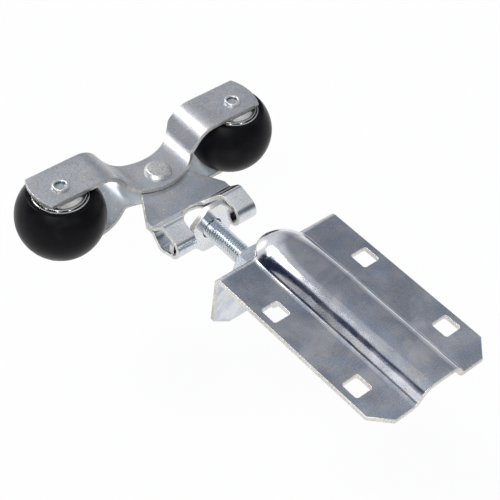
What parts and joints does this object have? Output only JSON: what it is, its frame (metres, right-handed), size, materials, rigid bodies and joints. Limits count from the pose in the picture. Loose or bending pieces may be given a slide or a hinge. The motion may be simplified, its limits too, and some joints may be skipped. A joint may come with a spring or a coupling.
{
  "type": "sliding door roller",
  "caption": "Sliding door top roller: ball-wheel carriage rocking on a folded hanger, joined by an adjusting bolt and lock nut to a ribbed, hooked door plate with square holes.",
  "frame": {"origin": "centre of the pattern of four square holes, on the plate's face that lies against the door", "axes": "+X across the plate along the track, +Y from the door towards the wheels, +Z out of the door face"},
  "size_m": [0.1494, 0.2147, 0.052],
  "materials": {
    "plate_zinc": "bright zinc plated sheet, scuffed",
    "strap_zinc": "zinc plated strip, dull and speckled",
    "hanger_zinc": "zinc plated sheet",
    "fastener_zinc": "bright blue zinc",
    "rivet_steel": "zinc plated, upset heads",
    "spacer_steel": "turned steel",
    "wheel_plastic": "black moulded plastic, satin gloss",
    "bearing_steel": "pressed and hardened steel",
    "ball_steel": "polished steel"
  },
  "bodies": {
    "door_plate": {"door_plate": "plate_zinc"},
    "load_nut": {"load_nut": "fastener_zinc"},
    "bolt": {"hanger_bolt": "fastener_zinc"},
    "lock_nut": {"lock_nut": "fastener_zinc"},
    "cross_plate": {"cross_plate": "hanger_zinc"},
    "hanger": {"hanger": "hanger_zinc"},
    "carriage": {"upper_strap": "strap_zinc", "lower_strap": "strap_zinc", "pivot_rivet": "rivet_steel", "left_axle": "rivet_steel", "right_axle": "rivet_steel", "left_spacer": "spacer_steel", "right_spacer": "spacer_steel", "left_upper_cone": "bearing_steel", "left_lower_cone": "bearing_steel", "right_upper_cone": "bearing_steel", "right_lower_cone": "bearing_steel"},
    "left_wheel": {"left_ball": "wheel_plastic", "left_upper_cup": "bearing_steel", "left_lower_cup": "bearing_steel"},
    "right_wheel": {"right_ball": "wheel_plastic", "right_upper_cup": "bearing_steel", "right_lower_cup": "bearing_steel"},
    "left_bearing": {"left_upper_balls": "ball_steel", "left_lower_balls": "ball_steel"},
    "right_bearing": {"right_upper_balls": "ball_steel", "right_lower_balls": "ball_steel"}
  },
  "joints": [
    {"name": "load_nut_turn", "type": "hinge", "parent": "door_plate", "child": "load_nut", "pos_m": [0, 0.0495, -0.022], "axis": [0, 1, 0], "range_deg": [-1205, 965]},
    {"name": "height_adjust", "type": "slide", "parent": "door_plate", "child": "bolt", "axis": [0, 1, 0], "range_m": [-0.004, 0.005]},
    {"name": "lock_nut_run", "type": "slide", "parent": "bolt", "child": "lock_nut", "axis": [0, 1, 0], "range_m": [-0.003, 0.018]},
    {"name": "hanger_swivel", "type": "hinge", "parent": "bolt", "child": "cross_plate", "pos_m": [0, 0.098, -0.022], "axis": [0, 1, 0], "continuous": true},
    {"name": "hanger_tilt", "type": "hinge", "parent": "cross_plate", "child": "hanger", "pos_m": [0, 0.098, -0.022], "axis": [1, 0, 0], "range_deg": [-15, 15]},
    {"name": "carriage_rock", "type": "hinge", "parent": "hanger", "child": "carriage", "pos_m": [0, 0.1385, -0.022], "axis": [0, 0, 1], "range_deg": [-30, 30]},
    {"name": "left_wheel_spin", "type": "hinge", "parent": "carriage", "child": "left_wheel", "pos_m": [-0.0527, 0.1457, -0.022], "axis": [0, 0, 1], "continuous": true},
    {"name": "right_wheel_spin", "type": "hinge", "parent": "carriage", "child": "right_wheel", "pos_m": [0.0527, 0.1457, -0.022], "axis": [0, 0, 1], "continuous": true},
    {"name": "left_bearing_roll", "type": "hinge", "parent": "carriage", "child": "left_bearing", "pos_m": [-0.0527, 0.1457, -0.022], "axis": [0, 0, 1], "continuous": true},
    {"name": "right_bearing_roll", "type": "hinge", "parent": "carriage", "child": "right_bearing", "pos_m": [0.0527, 0.1457, -0.022], "axis": [0, 0, 1], "continuous": true}
  ],
  "couplings": [
    {"joint": "load_nut_turn", "follows": "height_adjust", "rad_per_m": -4188.8},
    {"joint": "left_bearing_roll", "follows": "left_wheel_spin", "ratio": 0.59},
    {"joint": "right_bearing_roll", "follows": "right_wheel_spin", "ratio": 0.59}
  ]
}
